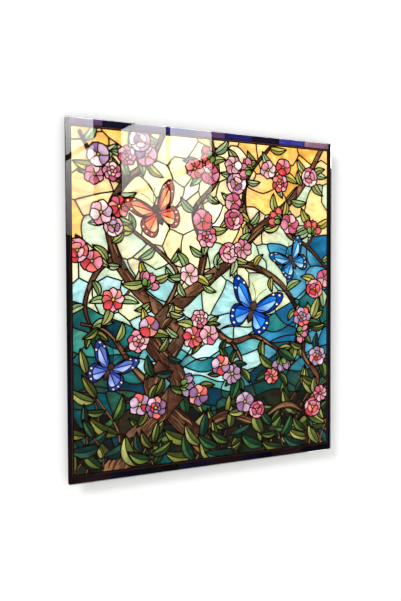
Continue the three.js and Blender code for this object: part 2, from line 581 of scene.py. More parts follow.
# A butterfly's right wings: x out from the body and z up, as shares of half its span.
FORE_WING = (0.04 + 0.06j, 0.22 + 0.42j, 0.58 + 0.80j, 0.96 + 0.92j,
             1.0 + 0.66j, 0.84 + 0.34j, 0.62 + 0.10j, 0.3 + 0j)
HIND_WING = (0.04 + 0j, 0.34 + 0.02j, 0.66 + 0j, 0.78 - 0.26j,
             0.68 - 0.58j, 0.46 - 0.74j, 0.24 - 0.60j, 0.08 - 0.24j)
# Each has its centre, its span in mm, its turn in degrees, its cells' colours, its border and its spots.
BUTTERFLIES = (
    (212 + 600j, 128, 24, ("#C83C2A", "#E87A4C", "#F2BA80"), "#4E1618", "#F0DCB8"),
    (462 + 372j, 146, -20, ("#0A46B4", "#1F78D6", "#7FB4EC"), "#0D1640", "#E8E4C8"),
    (578 + 494j, 104, 30, ("#1266B0", "#3C98D0", "#9CCCE0"), "#0E2240", "#E8DCB8"),
    (94 + 246j, 112, -28, ("#34489E", "#5C74C0", "#9CACE0"), "#181C46", "#E4D4C8"),
)


def butterfly(drawing, centre, span, turn, colours, dark, spot):
    """Four wings, each a dark border with spots round four cells, and a slender body with two feelers."""
    deep, middle, pale = colours
    drawing.figure += 1
    axis = heading(turn) * span / 2
    for side in (-1, 1):
        for wing, hinge in ((HIND_WING, 0.05 - 0.05j), (FORE_WING, 0.05 + 0.05j)):
            def place(point):
                return centre + axis * complex(point.real * side, point.imag)

            rim = smooth_path([*wing, wing[0]], 0.11)[:-1]
            far = place(rim[len(rim) // 2])
            drawing.add([place(p) for p in rim], dark, tone(deep, 0.6), place(hinge), far)
            inner = [hinge + (p - hinge) * 0.77 for p in rim]
            cuts = [round(share * (len(rim) - 1)) for share in (0, 0.36, 0.56, 0.78, 1)]
            for low, high, hue in zip(cuts, cuts[1:], (deep, middle, pale, middle)):
                sector = [place(p) for p in inner[low : high + 1]]
                drawing.add([place(hinge), *sector], deep, hue, place(hinge), sector[len(sector) // 2])
            for share in (0.40, 0.50, 0.60):
                p = hinge + (rim[round(share * len(rim))] - hinge) * 0.885
                mark = round_outline(place(p), span * 0.026, span * 0.02, turn, 7)
                drawing.add(mark, spot, inner=SPOT_LINE)
    for low, high, wide in ((-0.46, 0.02, 0.10), (-0.04, 0.32, 0.13)):
        tail, head = centre + axis * low * 1j, centre + axis * high * 1j
        petal(drawing, tail, head, wide * span, "#2A1C18", "#54402E", 0.5, 0.7, THIN_LINE)
    for side in (-1, 1):
        feeler = smooth_path([centre + axis * p for p in (0.3j, 0.1 * side + 0.62j, 0.3 * side + 0.86j)], 4)
        drawing.add(ribbon(feeler, 1.7), "#1A120E", line=0.0, inner=0.0)


# The composition: two twisted trunks and their shoots, each with its width at its foot and at its tip

TRUNK = ((96, 4), (152, 78), (226, 150), (264, 203), (230, 258), (198, 312), (236, 368), (312, 428),
         (392, 488), (468, 560), (548, 622), (612, 690), (668, 782))
CLIMBER = ((368, 4), (304, 80), (230, 150), (194, 203), (228, 258), (264, 312), (224, 368), (162, 424),
           (112, 500), (98, 590), (132, 664), (196, 722), (232, 790))
SHOOTS = (
    (((392, 488), (468, 478), (548, 432), (600, 352), (588, 282)), 20, 7),
    (((312, 428), (330, 520), (306, 606), (366, 690), (350, 782)), 20, 7),
    (((548, 622), (566, 562), (626, 530), (692, 470)), 14, 6),
    (((112, 500), (66, 462), (40, 392), (58, 330)), 14, 6),
    (((132, 664), (74, 696), (30, 772)), 12, 6),
    (((672, 4), (632, 96), (656, 190), (612, 262), (640, 350)), 26, 8),
    (((468, 560), (440, 620), (452, 700), (520, 782)), 13, 6),
    (((224, 368), (262, 450), (230, 500), (150, 560)), 12, 6),
    (((262, 312), (340, 330), (404, 296), (470, 306), (540, 268)), 24, 7),
    (((404, 296), (430, 250), (420, 206)), 11, 6),
    (((194, 203), (150, 250), (92, 330), (30, 352)), 17, 6),
    (((304, 80), (392, 118), (470, 96), (560, 128), (632, 96)), 26, 14),
)

# The border's dark glass: violets along the top and near-blacks on the other sides, in a drawn order.
VIOLETS = ("#1C1A50", "#2A2A70", "#46304E", "#6A4C5E", "#110D1C")
NIGHTS = ("#0A090E", "#08090A", "#150B0E", "#0A0918")
BORDER_SEED = 5
# The sides go anticlockwise from the lower edge: each one's number of strips and their colours, then how
# light its came is.
STRIPS = ((8, NIGHTS), (7, NIGHTS), (9, VIOLETS), (7, NIGHTS))
CAME_LIGHT = (0.8, 0.9, 2.2, 1.0)
INNER_BLACK = 3.2  # width of the black line inside the came, in mm
STRIP_REACH = 20  # how far a strip reaches outwards, past the film's edge
STRIP_RUN = 30  # how far the upright sides run on past the corners


def border(drawing):
    """Strips of dark glass round the edge, then a brown came and a black line inside them."""
    mm, rng = drawing.mm, drawing.rng

    def ring(reach):
        """The four corners of a rectangle that lies reach mm inside the strips."""
        x, z = mm.side_band + reach, mm.end_band + reach
        return [complex(x, z), complex(FILM_WIDTH - x, z), complex(FILM_WIDTH - x, FILM_HEIGHT - z),
                complex(x, FILM_HEIGHT - z)]

    for near, far, colour in ((mm.came, mm.came + INNER_BLACK, "#120B09"), (0.0, mm.came, "#35241B")):
        drawing.figure += 1
        outer, inner = ring(near), ring(far)
        for i, light in enumerate(CAME_LIGHT):
            k = (i + 1) % 4
            bar = [outer[i], outer[k], inner[k], inner[i]]
            drawing.add(bar, tone(colour, light), tone(colour, 0.7 * light), line=0.0, inner=0.0)
    drawing.figure += 1
    corners = ring(0.0)
    draws = random.Random(BORDER_SEED)
    for i, (count, palette) in enumerate(STRIPS):
        start, end = corners[i], corners[(i + 1) % 4]
        if i % 2:
            start, end = start - unit(end - start) * STRIP_RUN, end + unit(end - start) * STRIP_RUN
        outward = -1j * unit(end - start) * STRIP_REACH
        colour = None
        for k in range(count):
            colour = draws.choice([other for other in palette if other != colour])
            low, high = (start + (end - start) * share / count for share in (k, k + 1))
            outline = [low, low + outward, high + outward, high]
            far = tone(colour, rng.uniform(0.6, 1.5))
            drawing.add(outline, colour, far, low, high, line=STEM_LINE, inner=STRIP_LINE)


def plants(drawing, count, low, high, length):
    """A row of leafy stems along the lower edge, taller towards the sides."""
    rng = drawing.rng
    for k in range(count):
        share = (k + rng.uniform(0.1, 0.9)) / count
        height = low + (high - low) * abs(2 * share - 0.95) ** 1.3 + rng.uniform(-16, 16)
        root = complex(share * FILM_WIDTH, rng.uniform(0, 24))
        tip = root + heading(rng.uniform(58, 122)) * height
        sprig(drawing, root, tip, rng.choice((4, 5, 6)), length, LOW_LEAVES)


# Clusters of flowers, with sizes in mm.
CLUSTER_TRIES = 2600
CLUSTER_SIDES = 34  # least distance from the film's sides
CLUSTER_FOOT = 130
CLUSTER_HEAD = 42
CLUSTER_REACH = 60  # farthest from a vine
CLUSTER_ROOM = 44  # radius kept free by each
TENDRIL = 34


def leafy_vine(drawing, path, hides_insect):
    """Leaves on alternate sides of a vine, and three at its free end."""
    rng, mm = drawing.rng, drawing.mm
    sides = left_of(path)
    for i in range(4, len(path) - 2, 9):
        side = 1 if (i // 9) % 2 else -1
        way = unit(sides[i] * side - 1j * sides[i] * rng.uniform(0.1, 0.9))
        tip = path[i] + way * mm.leaf * rng.uniform(0.74, 1.05)
        if path[i].imag > 150 and not hides_insect(tip):
            leaf(drawing, path[i], tip, rng.choice(leaf_kinds(tip)), 0.12 * side)
    end = path[-1]
    if 30 < end.real < FILM_WIDTH - 30 and end.imag < FILM_HEIGHT - 40:
        for swing, reach in ((40, 0.8), (-45, 0.75), (0, 1.1)):
            way = unit(end - path[-4]) * heading(swing)
            tip = end + way * mm.leaf * reach
            leaf(drawing, end - way * 5, tip, rng.choice(leaf_kinds(end)), 0.002 * swing)


def find_clusters(drawing, paths, insects):
    """Places for clusters of flowers near the vines and clear of each other, each with its root on a vine."""
    rng = drawing.rng
    taken = list(insects)
    clusters = []
    for _ in range(CLUSTER_TRIES):
        x = rng.uniform(CLUSTER_SIDES, FILM_WIDTH - CLUSTER_SIDES)
        centre = complex(x, rng.uniform(CLUSTER_FOOT, FILM_HEIGHT - CLUSTER_HEAD))
        root = min((p for path in paths for p in path), key=lambda p: abs(p - centre))
        apart = 46 if centre.imag > 300 else 60
        clear = all(abs(centre - p) > apart + r for p, r in taken)
        if abs(root - centre) < CLUSTER_REACH and clear:
            clusters.append((centre, root))
            taken.append((centre, CLUSTER_ROOM))
    return clusters


def blossoms(drawing, k, centre, root):
    """The flowers of cluster k, some of them as three buds."""
    rng, bloom = drawing.rng, drawing.mm.bloom
    count = (3, 2, 2, 1)[k % 4]
    turn = rng.uniform(0, 360)
    for j in range(count):
        apart = (0, 0.72, 0.9)[count - 1] * bloom
        spot = centre + heading(turn + 360 * j / count + rng.uniform(-18, 18)) * apart
        family = rng.choice((0, 1, 2, 1, 0) if centre.imag > 380 else (0, 3, 1, 3))
        if (k + j) % 6 == 5:
            way = unit(centre - root)
            for swing in (-36, 8, 48):
                bud(drawing, spot - way * 14, spot - way * 14 + way * heading(swing) * 36, family)
        else:
            kind = FLOWERS[(2 * k + j) % len(FLOWERS)]
            flower(drawing, spot, bloom * rng.uniform(0.8, 1.02), kind, family)


def compose(settings):
    """The whole picture, back to front, and the group that each ground cell belongs to."""
    drawing = Drawing(settings)
    rng, mm = drawing.rng, drawing.mm
    groups = ground_cells(drawing)
    insects = [(centre, span * 0.46) for centre, span, *_ in BUTTERFLIES]

    def hides_insect(tip):
        return any(abs(tip - p) < r * 0.85 for p, r in insects)

    plants(drawing, 8, 100, 250, 78)
    paths = [vine(drawing, *shoot) for shoot in SHOOTS]
    paths += [vine(drawing, CLIMBER, mm.trunk * 0.82, 10), vine(drawing, TRUNK, mm.trunk, 11)]
    vine(drawing, CLIMBER, mm.trunk * 0.82, 10, (0.235, 0.335))
    plants(drawing, 11, 50, 120, 72)
    for path, turn in zip(paths[:7:2], (1, 1, -1, 1)):
        i = len(path) // 2
        tendril(drawing, path[i], left_of(path)[i] * turn, TENDRIL, turn)

    clusters = find_clusters(drawing, paths, insects)
    for centre, root in clusters:
        if abs(centre - root) > 14:
            stem(drawing, root, centre, 6.0, rng.uniform(-0.2, 0.2))
    for path in paths:
        leafy_vine(drawing, path, hides_insect)
    for centre, root in clusters:
        for swing in (rng.uniform(20, 70), -rng.uniform(20, 70), rng.uniform(110, 250)):
            way = unit(centre - root) * heading(swing)
            tip = centre + way * mm.leaf * rng.uniform(1.0, 1.3)
            if not hides_insect(tip):
                bend = 0.1 if swing > 0 else -0.1
                leaf(drawing, centre + way * 10, tip, rng.choice(leaf_kinds(tip)), bend)
    for k, (centre, root) in enumerate(clusters):
        blossoms(drawing, k, centre, root)

    for insect in BUTTERFLIES:
        butterfly(drawing, *insect)
    border(drawing)
    return drawing, groups


# From the drawing to one flat mesh

CUT_EPSILON = 0.002  # mm, under which points are one
SLIVER = 13.0  # mm2, under which a piece joins a neighbour
FILL_PITCH = 9.0  # spacing of the points inside a pane
FILL_CLEAR = 3.4  # their least distance from its edge
RIM_REACH = 9.0  # how far the shade beside a lead line reaches into a pane
RIM_SHADE = 0.74
GRAIN_UNIT = 100  # mm in one unit of the grain's UV map


def film_outline():
    """The film's outline from the frame's own node, counter-clockwise."""
    corners = set()
    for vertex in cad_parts["printed_film"].data.vertices:
        x, z = vertex.co.x - FILM_LOW.x, vertex.co.z - FILM_LOW.z
        corners.add(complex(round(x / MM, 3), round(z / MM, 3)))
    return sorted(corners, key=lambda p: cmath.phase(p - complex(FILM_WIDTH, FILM_HEIGHT) / 2))


def covered(places, outline):
    """Which places lie in a closed outline, by how often it winds round them."""
    x, z = places.real[:, None], places.imag[:, None]
    ends = np.roll(outline, -1)
    with np.errstate(divide="ignore", invalid="ignore"):
        meet = outline.real + (z - outline.imag) * (ends - outline).real / (ends - outline).imag
    crosses = ((outline.imag > z) != (ends.imag > z)) & (x < meet)
    return (np.where(ends.imag > outline.imag, 1, -1) * crosses).sum(axis=1) != 0


def triangulate(points, edges):
    """Delaunay triangles that keep the edges, and their middles."""
    flat = [Vector((p.real, p.imag)) for p in points]
    found, _, triangles, *_ = delaunay_2d_cdt(flat, edges, [], 0, CUT_EPSILON, False)
    points = [complex(*p) for p in found]
    triangles = [tuple(triangle) for triangle in triangles]
    return points, triangles, np.array(points)[np.array(triangles)].mean(axis=1)


def edges_of(triangles):
    """The triangles on each edge."""
    sides = {}
    for t, (a, b, c) in enumerate(triangles):
        for pair in ((a, b), (b, c), (c, a)):
            sides.setdefault((min(pair), max(pair)), []).append(t)
    return sides


def area_of(a, b, c):
    return ((b - a).conjugate() * (c - a)).imag / 2


def cut_up(drawing, groups, regions, outline):
    """Cuts every pane against the others. The last pane drawn wins. Each triangle gets a key for its pane."""
    shapes = [outline, *regions, *(pane.outline for pane in drawing.panes)]
    points, edges = [], []
    for shape in shapes:
        first, count = len(points), len(shape)
        edges += [(first + i, first + (i + 1) % count) for i in range(count)]
        points += shape
    points, triangles, middles = triangulate(points, edges)
    inside = covered(middles, np.array(outline))
    triangles = [triangle for triangle, kept in zip(triangles, inside) if kept]
    middles = middles[inside]
    order = np.argsort(middles.real)
    sorted_x = middles.real[order]

    def within(shape):
        corners = np.array(shape)
        left, right = np.searchsorted(sorted_x, [corners.real.min(), corners.real.max()])
        near = order[left:right]
        height = middles[near].imag
        near = near[(height > corners.imag.min()) & (height < corners.imag.max())]
        return near[covered(middles[near], corners)] if len(near) else near

    top, depth = np.zeros((2, len(middles)), int)
    for number, pane in enumerate(drawing.panes):
        top[within(pane.outline)] = number
    for region in regions:
        depth[within(region)] += 1
    keys = [(groups[n], d) if n < len(groups) else (n, 0) for n, d in zip(top.tolist(), depth.tolist())]
    return points, triangles, keys


def gather_pieces(points, triangles, keys):
    """Joins touching triangles of one pane, and gives each sliver to the piece it shares most edge with. A
    piece's number is one of its triangles, so keys[piece] is its key."""
    leader = list(range(len(triangles)))

    def find(t):
        while leader[t] != t:
            leader[t] = leader[leader[t]]
            t = leader[t]
        return t

    pairs = [(edge, pair) for edge, pair in edges_of(triangles).items() if len(pair) == 2]
    for _, (one, other) in pairs:
        if keys[one] == keys[other]:
            leader[find(one)] = find(other)
    area, shared = Counter(), {}
    for t, corners in enumerate(triangles):
        area[find(t)] += abs(area_of(*(points[i] for i in corners)))
    for (a, b), pair in pairs:
        one, other = find(pair[0]), find(pair[1])
        if one != other:
            shared.setdefault(one, Counter())[other] += abs(points[a] - points[b])
            shared.setdefault(other, Counter())[one] += abs(points[a] - points[b])
    for piece in sorted(area, key=area.get):
        if area[piece] < SLIVER and find(piece) == piece:
            choices = Counter()
            for other, length in shared.get(piece, {}).items():
                if find(other) != piece:
                    choices[find(other)] += length
            if choices:
                leader[piece] = max(choices, key=choices.get)
                area[leader[piece]] += area[piece]
    return [find(t) for t in range(len(triangles))]


def nearest_in(places):
    tree = kdtree.KDTree(len(places))
    for i, place in enumerate(places):
        tree.insert((place.real, place.imag, 0), i)
    tree.balance()
    return lambda p: tree.find((p.real, p.imag, 0))[2]


def cut_clean(points, triangles, pieces):
    """Cuts the film once more along the lines that show, with small even triangles inside each piece."""
    edges = []
    for edge, pair in edges_of(triangles).items():
        if len(pair) == 1 or len({pieces[t] for t in pair}) > 1:
            edges.append(edge)
    used = sorted({i for edge in edges for i in edge})
    place = {old: new for new, old in enumerate(used)}
    outline_points = [points[i] for i in used]
    distance = nearest_in(outline_points)
    fill = []
    for row in range(int(FILM_HEIGHT / FILL_PITCH)):
        for column in range(int(FILM_WIDTH / FILL_PITCH)):
            point = complex(column + 0.5 + 0.5 * (row % 2), row + 0.5) * FILL_PITCH
            if point.real < FILM_WIDTH and distance(point) > FILL_CLEAR:
                fill.append(point)
    found, cut, middles = triangulate(outline_points + fill, [(place[a], place[b]) for a, b in edges])
    old = BVHTree.FromPolygons([(p.real, p.imag, 0) for p in points], triangles)
    kept, owners = [], []
    for triangle, middle in zip(cut, middles.tolist()):
        hit = old.ray_cast(Vector((middle.real, middle.imag, 1)), Vector((0, 0, -1)))[2]
        if hit is not None:
            kept.append(triangle)
            owners.append(pieces[hit])
    return found, kept, owners


def piece_looks(drawing, groups, points, triangles, pieces, keys):
    """Near and far colour, gradient and grain offset of each piece of glass."""
    rng = drawing.rng
    moment, weight = Counter(), Counter()
    for corners, piece in zip(triangles, pieces):
        area = abs(area_of(*(points[i] for i in corners)))
        moment[piece] += sum(points[i] for i in corners) / 3 * area
        weight[piece] += area
    looks = {}
    for piece in sorted(weight):
        top, depth = keys[piece]
        pane = drawing.panes[top]
        offset = complex(rng.uniform(0, 40), rng.uniform(0, 40))
        if top < len(groups):
            middle = moment[piece] / weight[piece]
            palette = ground_colours(middle, depth, rng)
            near = tone(rng.choice(palette), rng.uniform(0.78, 0.98))
            far = tone(rng.choice(palette), rng.uniform(0.95, 1.1))
            slant = rng.uniform(-35, 35) + (0 if middle.imag < 0.4 * FILM_HEIGHT else rng.choice((0, 60)))
            reach = heading(slant) * max(14.0, math.sqrt(2 * weight[piece]) * 0.45)
            looks[piece] = near, far, middle - reach, middle + reach, offset
        else:
            looks[piece] = pane.near, pane.far, pane.start, pane.end, offset
    return looks


def lead_widths(drawing, sides, pieces, keys):
    """Edges that carry a lead line, with the width of each in mm."""
    widths = {}
    for edge, pair in sides.items():
        if len(pair) == 2 and pieces[pair[0]] != pieces[pair[1]]:
            lower, upper = sorted(keys[pieces[t]][0] for t in pair)
            lower, upper = drawing.panes[lower], drawing.panes[upper]
            width = upper.inner if upper.figure == lower.figure else upper.line
            if width > 0:
                widths[edge] = width
    return widths


def rim_of(faces):
    """The one closed line round faces that all turn the same way, in that turn's order."""
    sides = {(corners[i - 1], corners[i]) for corners in faces for i in range(len(corners))}
    after = {a: b for a, b in sides if (b, a) not in sides}
    rim = [min(after)]
    while after[rim[-1]] != rim[0]:
        rim.append(after[rim[-1]])
    if len(rim) != len(after):
        raise RuntimeError("the print's edge isn't one closed line")
    return rim


def picture_mesh(settings):
    """The print as a closed slab with its colours, and the centre lines of its lead with their widths."""
    drawing, groups = compose(settings)
    points, triangles, keys = cut_up(drawing, groups, [below_wave(*wave) for wave in WAVES], film_outline())
    points, triangles, pieces = cut_clean(points, triangles, gather_pieces(points, triangles, keys))
    looks = piece_looks(drawing, groups, points, triangles, pieces, keys)
    widths = lead_widths(drawing, edges_of(triangles), pieces, keys)

    on_lead = {i for edge in widths for i in edge}
    marks = [points[i] for i in sorted(on_lead)] + [(points[a] + points[b]) / 2 for a, b in widths]
    distance = nearest_in(marks)
    shade = []
    for i, point in enumerate(points):
        share = 0.0 if i in on_lead else min(1.0, distance(point) / RIM_REACH)
        shade.append(RIM_SHADE + (1 - RIM_SHADE) * share * (2 - share))

    faces, colours, grain = [], [], []
    for corners, piece in zip(triangles, pieces):
        if area_of(*(points[i] for i in corners)) < 0:
            corners = corners[::-1]
        faces.append(corners)
        near, far, start, end, offset = looks[piece]
        along = unit(end - start)
        for i in corners:
            gone = (points[i] - start) / along
            colour = blend(near, far, min(1.0, max(0.0, gone.real / max(abs(end - start), 0.001))))
            colours += [*(value * shade[i] for value in colour[:3]), 1.0]
            grain += [gone.real / GRAIN_UNIT + offset.real, gone.imag / GRAIN_UNIT + offset.imag]
    # The slab's sides and back carry the protective coat. They close the film behind the picture.
    rim = rim_of(faces)
    used = sorted({i for corners in faces for i in corners})
    front = {old: new for new, old in enumerate(used)}
    back = {old: len(used) + new for new, old in enumerate(rim)}
    verts = [(FILM_LOW.x + points[i].real * MM, PRINT_DEPTH, FILM_LOW.z + points[i].imag * MM) for i in used]
    verts += [(FILM_LOW.x + points[i].real * MM, FILM_HIGH.y, FILM_LOW.z + points[i].imag * MM) for i in rim]
    slots = [0] * len(faces) + [1] * (len(rim) + 1)
    faces = [[front[i] for i in corners] for corners in faces]
    faces += [(front[b], front[a], back[a], back[b]) for a, b in zip(rim, [*rim[1:], rim[0]])]
    faces.append([back[i] for i in reversed(rim)])
    mesh = bpy.data.meshes.new("picture_print")
    mesh.from_pydata(verts, [], faces)
    mesh.polygons.foreach_set("material_index", slots)
    plain = len(mesh.loops) - 3 * len(triangles)
    colour_layer = mesh.attributes.new("glass_colour", "FLOAT_COLOR", "CORNER")
    colour_layer.data.foreach_set("color", colours + [1.0] * 4 * plain)
    mesh.uv_layers.new(name="grain").data.foreach_set("uv", grain + [0.0] * 2 * plain)
    mesh.update()
    return mesh, points, widths


# Materials


def print_material():
    """Printed film: solvent ink under clear glass. A flat picture of glass, streaked and mottled within each
    pane, because the print shows cathedral glass with its wisps and its uneven pour."""
    material, tree, shader = new_material("Printed film with cathedral glass picture", Roughness=0.6,
                                          Specular_IOR_Level=0.0)
    colour = add_node(tree, "ShaderNodeAttribute", attribute_name="glass_colour")
    grain = add_node(tree, "ShaderNodeUVMap", uv_map="grain")
    stretch = add_node(tree, "ShaderNodeMapping", {"Vector": grain.outputs["UV"]}, Scale=(1.0, 3.2, 1.0))
    strength = None
    # Wisps are about 50 mm long and 16 mm wide, mottling 20 mm and the pour's seeds 2 mm.
    for source, scale, detail, distortion, low, high in (
        (stretch.outputs[0], 2.0, 2.0, 0.6, 0.80, 1.34),
        (grain.outputs["UV"], 5.0, 2.0, 0.0, 0.84, 1.14),
        (grain.outputs["UV"], 52.0, 1.0, 0.0, 0.97, 1.03),
    ):
        noise = add_node(tree, "ShaderNodeTexNoise", {"Vector": source}, Scale=scale, Detail=detail,
                         Distortion=distortion)
        spread = add_node(tree, "ShaderNodeMapRange", {"Value": noise.outputs["Fac"]}, From_Min=0.3,
                          From_Max=0.7, To_Min=low, To_Max=high)
        part = spread.outputs[0]
        if strength:
            part = add_node(tree, "ShaderNodeMath", {0: strength, 1: part}, operation="MULTIPLY").outputs[0]
        strength = part
    tinted = add_node(tree, "ShaderNodeVectorMath", {0: colour.outputs["Color"], "Scale": strength},
                      operation="SCALE")
    tree.links.new(tinted.outputs[0], shader.inputs["Base Color"])
    return material


def lead_material(colours):
    """Printed lead line: dense dark ink. Flat and nearly black, a little warmer where the ink is thin."""
    material, tree, shader = new_material("Printed lead line", Roughness=0.6, Specular_IOR_Level=0.0)
    # The ink's uneven spots are 6 mm across.
    colour_between(tree, shader, object_noise(tree, 160.0), colours.lead, 0.6, 1.7)
    return material


def backing_material(colours):
    """Two-part protective lacquer, rolled on over the ink: flat grey, clouded by the roller's passes, with
    the faint tooth that its nap leaves."""
    material, tree, shader = new_material("Rolled grey protective lacquer")
    # The roller's cloudy passes are about 60 mm wide and its tooth 1.5 mm.
    clouds = object_noise(tree, 16.0, 3.0)
    colour_between(tree, shader, clouds, colours.backing, 0.86, 1.06)
    relief(tree, shader, object_noise(tree, 650.0, 1.0), 0.25, 0.0001, clouds, 0.5, 0.72)
    return material


def glass_material(colours):
    """Toughened float glass, cut and edge-polished: clear, mirror-flat and faintly green where thick."""
    return new_material("Toughened float glass with polished edge", Base_Color=linear(colours.glass),
                        Roughness=0.0, IOR=1.52, Transmission_Weight=1.0)[0]


def rail_material(colours):
    """Anodised aluminium, extruded: a satin grey metal with fine die lines that run along the rail."""
    material, tree, shader = new_material("Extruded anodised aluminium", Metallic=1.0)
    # Die lines are drawn 0.8 mm apart, coarser than real ones so that they show, and run along X.
    lines = object_noise(tree, 1.0, 2.0, (6.0, 1250.0, 1250.0))
    colour_between(tree, shader, object_noise(tree, 30.0), colours.aluminium, 0.9, 1.08)
    relief(tree, shader, lines, 0.3, 0.00004, lines, 0.28, 0.5)
    return material


def pad_material(colours):
    """Natural rubber, moulded: matt black with a fine spark-eroded grain and a dusty bloom on it."""
    material, tree, shader = new_material("Moulded rubber")
    # The mould's grain is 0.7 mm and the bloom comes in 7 mm clouds.
    bloom = object_noise(tree, 140.0)
    colour_between(tree, shader, bloom, colours.rubber, 0.8, 2.2)
    relief(tree, shader, object_noise(tree, 1400.0), 0.4, 0.0001, bloom, 0.62, 0.85)
    return material


# Lead lines by Geometry Nodes


def lead_line_tree():
    """Centre lines become flat strips of their own width, with a round joint where they meet or turn."""
    tree = bpy.data.node_groups.new("Lead lines", "GeometryNodeTree")
    tree.is_modifier = True
    for name, direction, kind in (
        ("Centre lines", "INPUT", "Geometry"),
        ("Widening", "INPUT", "Float"),
        ("Joint sides", "INPUT", "Int"),
        ("Material", "INPUT", "Material"),
        ("Strips", "OUTPUT", "Geometry"),
    ):
        tree.interface.new_socket(name, in_out=direction, socket_type="NodeSocket" + kind)
    given = add_node(tree, "NodeGroupInput").outputs
    half = add_node(tree, "GeometryNodeInputNamedAttribute", data_type="FLOAT", Name="half_width")
    joint = add_node(tree, "GeometryNodeInputNamedAttribute", data_type="BOOLEAN", Name="joint")
    size = add_node(tree, "ShaderNodeMath", {0: half.outputs["Attribute"], 1: given["Widening"]},
                    operation="MULTIPLY")
    curves = add_node(tree, "GeometryNodeMeshToCurve", {"Mesh": given["Centre lines"]})
    level = add_node(tree, "GeometryNodeSetCurveNormal", {"Curve": curves.outputs["Curve"]}, mode="Z_UP")
    profile = add_node(tree, "GeometryNodeCurvePrimitiveLine", Start=(1.0, 0.0, 0.0), End=(-1.0, 0.0, 0.0))
    strips = add_node(tree, "GeometryNodeCurveToMesh", {"Curve": level.outputs["Curve"],
                                                        "Profile Curve": profile.outputs["Curve"],
                                                        "Scale": size.outputs[0]})
    disc = add_node(tree, "GeometryNodeMeshCircle", {"Vertices": given["Joint sides"]}, fill_type="NGON",
                    Radius=1.0)
    joints = add_node(tree, "GeometryNodeInstanceOnPoints", {"Points": given["Centre lines"],
                                                             "Selection": joint.outputs["Attribute"],
                                                             "Instance": disc.outputs["Mesh"],
                                                             "Scale": size.outputs[0]})
    both = add_node(tree, "GeometryNodeJoinGeometry", {0: strips.outputs["Mesh"]})
    tree.links.new(joints.outputs["Instances"], both.inputs[0])
    real = add_node(tree, "GeometryNodeRealizeInstances", {0: both.outputs[0]})
    inked = add_node(tree, "GeometryNodeSetMaterial", {"Geometry": real.outputs[0],
                                                       "Material": given["Material"]})
    add_node(tree, "NodeGroupOutput", {0: inked.outputs[0]})
    return tree


SHARP_TURN = -0.86  # cosine between a line's two ways on, over which it counts as a turn
JOINT_SIDES = 8


def lead_mesh(points, widths, material):
    """The lead lines as one flat mesh, made by the node tree and then stood up in front of the print."""
    meets = {}
    for (a, b), width in widths.items():
        meets.setdefault(a, []).append((b, width / 2))
        meets.setdefault(b, []).append((a, width / 2))
    place = {old: new for new, old in enumerate(meets)}
    lines = bpy.data.meshes.new("picture_leading")
    lines.from_pydata([(points[i].real * MM, points[i].imag * MM, 0) for i in meets],
                      [(place[a], place[b]) for a, b in widths], [])
    halves, joints = [], []
    for i, others in meets.items():
        point = points[i]
        half = sum(width for _, width in others) / len(others)
        sharp = len(others) > 2
        if len(others) == 2:
            first, second = (unit(points[other] - point) for other, _ in others)
            sharp = (first.conjugate() * second).real > SHARP_TURN
        away = min(point.real, FILM_WIDTH - point.real, point.imag, FILM_HEIGHT - point.imag)
        halves.append(half * MM)
        joints.append(sharp and away > half)
    lines.attributes.new("half_width", "FLOAT", "POINT").data.foreach_set("value", halves)
    lines.attributes.new("joint", "BOOLEAN", "POINT").data.foreach_set("value", joints)
    holder = bpy.data.objects.new("lead_lines", lines)
    bpy.context.scene.collection.objects.link(holder)
    modifier = holder.modifiers.new("Lead lines", "NODES")
    modifier.node_group = lead_line_tree()
    inputs = {"Widening": 1.0, "Joint sides": JOINT_SIDES, "Material": material}
    for item in modifier.node_group.interface.items_tree:
        if item.in_out == "INPUT" and item.name in inputs:
            modifier[item.identifier] = inputs[item.name]
    made = bpy.data.meshes.new_from_object(holder.evaluated_get(bpy.context.evaluated_depsgraph_get()))
    holder.modifiers.remove(modifier)
    bpy.data.objects.remove(holder)
    if not made.polygons:
        raise RuntimeError("the lead lines came out empty")
    # A line that meets the film's edge at a slant is kept from reaching past it.
    for vertex in made.vertices:
        x = min(max(vertex.co.x, 0), FILM_HIGH.x - FILM_LOW.x)
        z = min(max(vertex.co.y, 0), FILM_HIGH.z - FILM_LOW.z)
        vertex.co = (FILM_LOW.x + x, LEAD_DEPTH, FILM_LOW.z + z)
    made.update()
    if sum(polygon.normal.y for polygon in made.polygons) > 0:
        made.flip_normals()
    return made


# Operators


class PANEL_OT_picture(bpy.types.Operator):
    """Draw the picture, cut it into panes of glass and lay it on the film"""

    bl_idname = "glass_panel.picture"
    bl_label = "Printed picture"

    def execute(self, context):
        scene = context.scene
        colours = scene.panel_colours
        print_mesh, points, widths = picture_mesh(scene.panel_picture)
        print_mesh.materials.append(print_material())
        print_mesh.materials.append(backing_material(colours))
        leading_mesh = lead_mesh(points, widths, lead_material(colours))
        for name, mesh in (("picture_print", print_mesh), ("picture_leading", leading_mesh)):
            piece = bpy.data.objects.new(name, mesh)
            scene.collection.objects.link(piece)
            if name == "picture_print":
                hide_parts("printed_film")
            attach(piece, BODY)
        return {"FINISHED"}


FIXINGS = ("hanging_rail", "bumper_left", "bumper_right")


def dress(name, material):
    """Gives a CAD node its finish."""
    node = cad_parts[name]
    node.data.materials.clear()
    node.data.materials.append(material)
    return node


class PANEL_OT_glass(bpy.types.Operator):
    """Give the glass sheet its clear finish"""

    bl_idname = "glass_panel.glass"
    bl_label = "Glass sheet"

    def execute(self, context):
        sheet = dress("glass_panel", glass_material(context.scene.panel_colours))
        sheet.visible_shadow = False
        sheet.visible_diffuse = False
        return {"FINISHED"}


